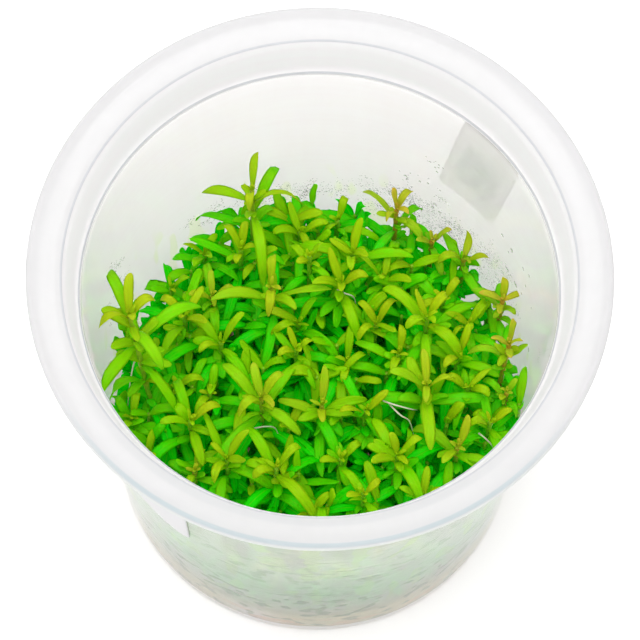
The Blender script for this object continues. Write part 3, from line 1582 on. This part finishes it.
LEAF_PRINTS = (
    LeafPrint(0.0, 62.0, 1.8, 20.0, 0.02),
    LeafPrint(-1.0, 45.0, 1.4, 6.0),
    LeafPrint(-7.0, 50.0, 2.2, 6.0, -0.25),
    LeafPrint(-10.0, 60.0, 1.2, 7.0, -0.2),
    LeafPrint(9.0, 62.0, 1.5, 15.0, 0.12),
    LeafPrint(13.0, 66.0, 2.6, 7.0, -0.3),
    LeafPrint(3.5, 44.0, 2.4, 4.0, 0.3),
    LeafPrint(19.0, 58.0, 0.9, 12.0, 0.5),
)


def growth_group() -> NodeTree:
    """Shared effect: marks of wet leaves on the inside of the wall, where they wipe its mist.

    Noise stretched round the axis makes dark level dashes, noise stretched up the wall
    makes pale upright blades and the murk between them, round noise low down makes dead
    leaves, and coarse noise there makes the gel's stain. The leaf prints are added to the
    pale blades as their largest value.

    Returns:
        A group with Vector in, and one mask from 0 to 1 out for each sort of mark.
    """
    nodes = Effect("growth", tuple(mark.name for mark in WALL_MARKS))
    height = nodes.coordinate(nodes.place, 2)
    front = nodes.fade_out(nodes.coordinate(nodes.place, 1), *WALL_FRONT)
    results = {}
    for mark in WALL_MARKS:
        noise = nodes.stretched_noise(nodes.place, mark.scale, 0.5, mark.turn)
        low, full, leaving, high = (value * MM for value in mark.window)
        shown = nodes.times(nodes.fade_in(noise, *mark.limits), nodes.fade_in(height, low, full))
        shown = nodes.times(shown, nodes.fade_out(height, leaving, high))
        results[mark.name] = nodes.times(shown, front) if mark.front else shown
    ragged = nodes.span(nodes.noise(nodes.place, 300.0, 1.0), 0.3, 0.7, -0.4, 0.4)
    for leaf_print in LEAF_PRINTS:
        shown = nodes.times(leaf_print.mask(nodes, nodes.place, ragged), front)
        results["Pale"] = nodes.math("MAXIMUM", results["Pale"], shown)
    return nodes.close(results)


@dataclass(frozen=True)
class LeafFinish:
    """Soft rotala leaf: yellow-green when young, deep green when old, lit through."""

    name: str = "rotala_leaf"
    old: tuple = rgb(0.0, 0.95, 0.0008)
    grown: tuple = rgb(0.02, 0.98, 0.0004)
    bright: tuple = rgb(0.41, 0.87, 0.0006)
    young: tuple = rgb(0.62, 0.80, 0.006)
    flush: tuple = rgb(0.95, 0.64, 0.10)
    rib: tuple = rgb(0.52, 0.72, 0.03)
    through: float = 0.5
    roughness: float = 0.48
    specular: float = 0.12

    def build(self, mottle: NodeTree) -> Material:
        """Make the material from the shared blotches.

        The colour runs through a ramp by the blade's youth, shifted by the blotches. The
        midrib is paler, and a blush lies mainly on the ends of the blade. Slanting side
        veins, the blotches and a groove along the midrib make the relief.
        """
        nodes = Surface(self.name)
        youth, blush, across, along = nodes.look()
        blotch = nodes.effect(mottle, Size=0.0035, Contrast=1.6).outputs[0]
        varied = nodes.plus(youth, nodes.times(nodes.minus(blotch, 0.5), 0.22), clamp=True)
        base = nodes.ramp(varied, ((0.0, self.old), (0.38, self.grown), (0.72, self.bright),
                                   (1.0, self.young)))
        rib = nodes.times(nodes.fade_out(across, 0.0, 0.16), nodes.span(along, 0.1, 0.95, 0.28, 0.08))
        base = nodes.mix(rib, base, self.rib)
        ends = nodes.plus(nodes.span(along, 0.0, 0.25, 0.75, 0.2), nodes.span(along, 0.7, 1.0, 0.0, 0.6))
        red = nodes.times(blush, nodes.plus(ends, nodes.times(blotch, 0.5)), clamp=True)
        base = nodes.mix(red, base, self.flush)
        veins = nodes.math("SINE", nodes.plus(nodes.times(along, 70.0), nodes.times(across, -9.0)))
        relief = nodes.plus(nodes.times(veins, 0.12), blotch)
        relief = nodes.minus(relief, nodes.span(across, 0.0, 0.2, 0.9, 0.0, True))
        normal = nodes.bump(relief, 0.35, 0.00012)
        rough = nodes.span(blotch, 0.2, 0.8, self.roughness - 0.08, self.roughness + 0.1)
        nodes.shade({"Base Color": base, "Normal": normal, "Roughness": rough,
                     "Specular IOR Level": self.specular})
        nodes.let_through(self.through, {"Color": base, "Normal": normal})
        return nodes.material


@dataclass(frozen=True)
class StemFinish:
    """Rotala stem: yellow-green, reddish at the nodes."""

    name: str = "rotala_stem"
    green: tuple = rgb(0.14, 0.50, 0.005)
    pale: tuple = rgb(0.36, 0.62, 0.03)
    red: tuple = rgb(0.58, 0.33, 0.03)

    def build(self, mottle: NodeTree) -> Material:
        """Make the material from the shared blotches."""
        nodes = Surface(self.name)
        _, blush, _, _ = nodes.look()
        blotch = nodes.effect(mottle, Size=0.0012, Contrast=1.8).outputs[0]
        base = nodes.mix(blotch, self.green, self.pale)
        red = nodes.times(blush, nodes.span(blotch, 0.2, 0.8, 0.7, 2.0), clamp=True)
        nodes.shade({"Base Color": nodes.mix(red, base, self.red), "Normal": nodes.bump(blotch, 0.3, 0.0001),
                     "Roughness": 0.4, "Specular IOR Level": 0.3})
        return nodes.material


@dataclass(frozen=True)
class RootFinish:
    """Thin root: white with a pink cast."""

    name: str = "root_white"
    pale: tuple = rgb(0.76, 0.72, 0.60)
    pink: tuple = rgb(0.74, 0.54, 0.44)

    def build(self, mottle: NodeTree) -> Material:
        """Make the material from the shared blotches."""
        nodes = Surface(self.name)
        blotch = nodes.effect(mottle, Size=0.002, Contrast=2.4).outputs[0]
        base = nodes.mix(nodes.span(blotch, 0.4, 0.9, 0.0, 1.0), self.pale, self.pink)
        nodes.shade({"Base Color": base, "Roughness": 0.45, "Specular IOR Level": 0.35})
        return nodes.material


@dataclass(frozen=True)
class Trim:
    """A thin ring round the plastic, by its radius in millimetres, with its own colour.

    Where front is set, the ring fades out towards the sides and the back.
    """

    radius: float
    half: float
    color: tuple = rgb(0.66, 0.67, 0.70)
    front: bool = False

    def mask(self, nodes: Nodes) -> Socket:
        """Strength of the ring: 1 at its radius, 0 at its half width away from it."""
        place = nodes.object_place()
        flat = nodes.add("ShaderNodeVectorMath", {0: place, 1: (1.0, 1.0, 0.0)}, operation="MULTIPLY")
        away = nodes.math("ABSOLUTE", nodes.minus(nodes.length(flat.outputs[0]), self.radius * MM))
        ring = nodes.fade_out(away, 0.3 * self.half * MM, self.half * MM)
        if self.front:
            ring = nodes.times(ring, nodes.fade_out(nodes.coordinate(place, 1), *RIM_FRONT))
        return ring


@dataclass(frozen=True)
class PlasticFinish:
    """Milky polypropylene: partly clear, with drawn lines and haze from moulding.

    Clear is the share of the gloss shader that lets light straight through, and milk the
    share of all light that comes through scattered.
    """

    name: str
    clear: float
    milk: float = 0.0
    color: tuple = rgb(0.95, 0.95, 0.94)
    roughness: tuple[float, float] = (0.16, 0.24)
    lines: float = 0.3
    refraction: float = 1.42
    trims: tuple[Trim, ...] = ()

    def build(self, moulding: NodeTree, growth: NodeTree | None = None) -> Material:
        """Make the material.

        Args:
            moulding: the shared moulding marks.
            growth: the shared marks of wet leaves, or None where no leaf touches.

        Returns:
            The material.
        """
        nodes = Surface(self.name)
        marks = nodes.effect(moulding)
        lines = marks.outputs["Lines"]
        rough = nodes.plus(nodes.span(marks.outputs["Haze"], 0.3, 0.7, *self.roughness),
                           nodes.times(marks.outputs["Scratches"], 0.45), clamp=True)
        tint = nodes.mix(nodes.span(lines, 0.35, 0.65, 0.0, 1.0), self.color,
                         rgb(*(min(1.0, c * 1.03) for c in self.color[:3])))
        for trim in self.trims:
            tint = nodes.mix(trim.mask(nodes), tint, trim.color)
        if growth:
            wet = nodes.effect(growth)
            for mark in WALL_MARKS:
                tint = nodes.mix(nodes.times(wet.outputs[mark.name], mark.strength), tint, mark.color)
        nodes.shade({"Base Color": tint, "Roughness": rough, "Normal": nodes.bump(lines, self.lines, 0.00004),
                     "Transmission Weight": self.clear, "IOR": self.refraction, "Specular IOR Level": 0.4})
        if self.milk:
            nodes.let_through(self.milk, {"Color": tint})
        return nodes.material


@dataclass(frozen=True)
class ClearFinish:
    """Something wet and clear, such as jelly or water."""

    name: str
    color: tuple
    refraction: float = 1.335
    roughness: tuple[float, float] = (0.02, 0.1)
    clear: float = 1.0

    def build(self, mottle: NodeTree) -> Material:
        """Make the material from the shared blotches."""
        nodes = Surface(self.name)
        blotch = nodes.effect(mottle, Size=0.006, Contrast=1.5).outputs[0]
        nodes.shade({"Base Color": nodes.mix(blotch, self.color, rgb(*(c * 0.96 for c in self.color[:3]))),
                     "Roughness": nodes.span(blotch, 0.2, 0.8, *self.roughness),
                     "Transmission Weight": self.clear, "IOR": self.refraction})
        return nodes.material


@dataclass(frozen=True)
class PaperFinish:
    """Bare label paper with fibres, and a soft mottled block in its middle."""

    name: str
    color: tuple
    block: tuple
    block_strength: float
    through: float

    def build(self, mottle: NodeTree) -> Material:
        """Make the material from the shared blotches."""
        nodes = Surface(self.name)
        _, _, across, along = nodes.look()
        blotch = nodes.effect(mottle, Size=0.0016, Contrast=3.0).outputs[0]
        inside = nodes.times(nodes.fade_out(across, 0.5, 0.75),
                             nodes.times(nodes.fade_in(along, 0.12, 0.3), nodes.fade_out(along, 0.6, 0.85)))
        strength = nodes.times(nodes.times(inside, self.block_strength),
                               nodes.span(blotch, 0.2, 0.8, 0.3, 1.3), clamp=True)
        base = nodes.mix(strength, self.color, self.block)
        nodes.shade({"Base Color": base, "Normal": nodes.bump(blotch, 0.2, 0.0001), "Roughness": 0.7,
                     "Specular IOR Level": 0.25})
        nodes.let_through(self.through, {"Color": base})
        return nodes.material


# Studio


@dataclass
class Studio:
    """White floor, white surroundings, a soft light and the camera."""

    floor_size: float = 3.0
    floor_height: float = -0.00015
    overhead: float = 0.8
    level: float = 0.85
    floor_glow: float = 0.36
    light_power: float = 3.6
    light_size: float = 0.6
    light_place: tuple[float, float, float] = (-0.06, -0.03, 0.8)
    lens: float = 168.75
    sensor: float = 36.0
    camera_place: tuple[float, float, float] = (0.0, -0.19888, 0.55854)
    look_down: float = 68.0
    look_aside: float = 0.06
    roll: float = 1.6

    def build(self) -> None:
        """Set up everything round the object."""
        self.add_floor()
        self.add_surroundings()
        self.add_light()
        self.add_camera()
        bpy.context.scene.view_settings.view_transform = "Standard"

    def add_floor(self) -> None:
        """A plain pale floor just under the foot ring."""
        half = self.floor_size / 2
        corners = ((-half, -half), (half, -half), (half, half), (-half, half))
        mesh = bpy.data.meshes.new("floor")
        mesh.from_pydata([(x, y, self.floor_height) for x, y in corners], [], [(0, 1, 2, 3)])
        nodes = Surface("floor_white")
        nodes.shade({"Base Color": rgb(0.86, 0.86, 0.86), "Roughness": 0.9, "Specular IOR Level": 0.1,
                     "Emission Color": rgb(1.0, 1.0, 1.0), "Emission Strength": self.floor_glow})
        mesh.materials.append(nodes.material)
        floor = bpy.data.objects.new("floor", mesh)
        bpy.context.scene.collection.objects.link(floor)

    def add_surroundings(self) -> None:
        """A white room that is bright overhead and dimmer towards the level."""
        world = bpy.data.worlds.new("white_room")
        world.use_nodes = True
        nodes = Nodes(world.node_tree)
        height = nodes.coordinate(nodes.add("ShaderNodeTexCoord").outputs["Generated"], 2)
        strength = nodes.span(height, 0.0, 1.0, self.level, self.overhead)
        nodes.fill(world.node_tree.nodes["Background"], {"Strength": strength, "Color": rgb(1.0, 1.0, 1.0)})
        bpy.context.scene.world = world

    def add_light(self) -> None:
        """One large soft light from above."""
        data = bpy.data.lights.new("soft_light", "AREA")
        data.shape = "DISK"
        data.size = self.light_size
        data.energy = self.light_power
        light = bpy.data.objects.new("soft_light", data)
        aim = -unit(np.array(self.light_place))
        side = unit(np.cross(aim, (0.0, 1.0, 0.0)))
        up = np.cross(side, aim)
        light.matrix_world = self.placed(side, up, -aim, self.light_place)
        bpy.context.scene.collection.objects.link(light)

    def add_camera(self) -> None:
        """The camera at the photograph's angle: steeply down, rolled a little."""
        pitch, yaw, roll = (math.radians(a) for a in (self.look_down, self.look_aside, self.roll))
        ahead = np.array((math.sin(yaw) * math.cos(pitch), math.cos(yaw) * math.cos(pitch), -math.sin(pitch)))
        level = np.array((math.cos(yaw), -math.sin(yaw), 0.0))
        above = np.cross(level, ahead)
        right = math.cos(roll) * level + math.sin(roll) * above
        up = -math.sin(roll) * level + math.cos(roll) * above
        data = bpy.data.cameras.new("camera")
        data.lens = self.lens
        data.sensor_width = self.sensor
        data.clip_start = 0.01
        data.clip_end = 20.0
        camera = bpy.data.objects.new("camera", data)
        camera.matrix_world = self.placed(right, up, -ahead, self.camera_place)
        bpy.context.scene.collection.objects.link(camera)
        bpy.context.scene.camera = camera

    @staticmethod
    def placed(x_axis: Vec, y_axis: Vec, z_axis: Vec, place: tuple[float, float, float]) -> Matrix:
        """A matrix from three axes and a place."""
        columns = [(*axis, 0.0) for axis in (x_axis, y_axis, z_axis)]
        return Matrix((*columns, (*place, 1.0))).transposed()


def main() -> None:
    """Build the studio, the cup and everything in it."""
    logging.basicConfig(level=logging.INFO, format="%(message)s")
    Studio().build()
    mottle = mottle_group()
    moulding = moulding_group()
    growth = growth_group()
    leaf = LeafFinish().build(mottle)
    stem = StemFinish().build(mottle)
    root = RootFinish().build(mottle)
    inner_ring = Trim(44.1, 0.28)
    rim_trims = (inner_ring, Trim(45.0, 1.1, rgb(0.728, 0.73, 0.738), True),
                 Trim(49.35, 0.56, rgb(0.60, 0.665, 0.69), True),
                 Trim(49.95, 0.2, rgb(0.86, 0.87, 0.85), True))
    plastics = [
        PlasticFinish("cup_milky", clear=0.72, milk=0.38, color=rgb(0.99, 0.945, 0.955),
                      roughness=(0.02, 0.05), lines=0.2, refraction=1.3).build(moulding, growth),
        PlasticFinish("cup_clear", clear=0.925, color=rgb(0.99, 0.97, 0.975),
                      roughness=(0.01, 0.03), lines=0.12, refraction=1.3).build(moulding),
        PlasticFinish("cup_rim", clear=0.2, milk=0.3, color=rgb(0.765, 0.76, 0.765),
                      roughness=(0.6, 0.7), lines=0.05, trims=rim_trims).build(moulding),
        PlasticFinish("cup_seat", clear=0.05, milk=0.6, color=rgb(1.0, 0.98, 0.99),
                      roughness=(0.4, 0.5), lines=0.05, trims=(inner_ring, Trim(41.5, 0.22))).build(moulding),
    ]
    jelly = ClearFinish("gel_clear", rgb(0.66, 0.60, 0.40), clear=0.6).build(mottle)
    water = ClearFinish("water", rgb(0.93, 0.93, 0.93), 1.333, (0.0, 0.03)).build(mottle)
    back_paper = PaperFinish("label_back_paper", rgb(1.0, 1.0, 0.99), rgb(0.88, 0.90, 0.885),
                             block_strength=0.9, through=0.86).build(mottle)
    front_paper = PaperFinish("label_front_paper", rgb(0.82, 0.81, 0.82), rgb(0.74, 0.74, 0.75),
                              block_strength=0.2, through=0.12).build(mottle)
    CupShell().build(plastics)
    Gel().build(jelly)
    Label("label_back", 46.0, 9.6, 2.4, 52.5, 79.8).build(back_paper)
    Label("label_front", -138.5, 15.5, 0.0, 43.5, 78.5).build(front_paper)
    for number, (shoot, leaves) in enumerate(plan_plantlets(), start=1):
        Plantlet(number, shoot, leaves).build(leaf, stem)
    Undergrowth().build(leaf, stem)
    Roots().build(root)
    Condensation().build(water)


if __name__ == "__main__":
    main()
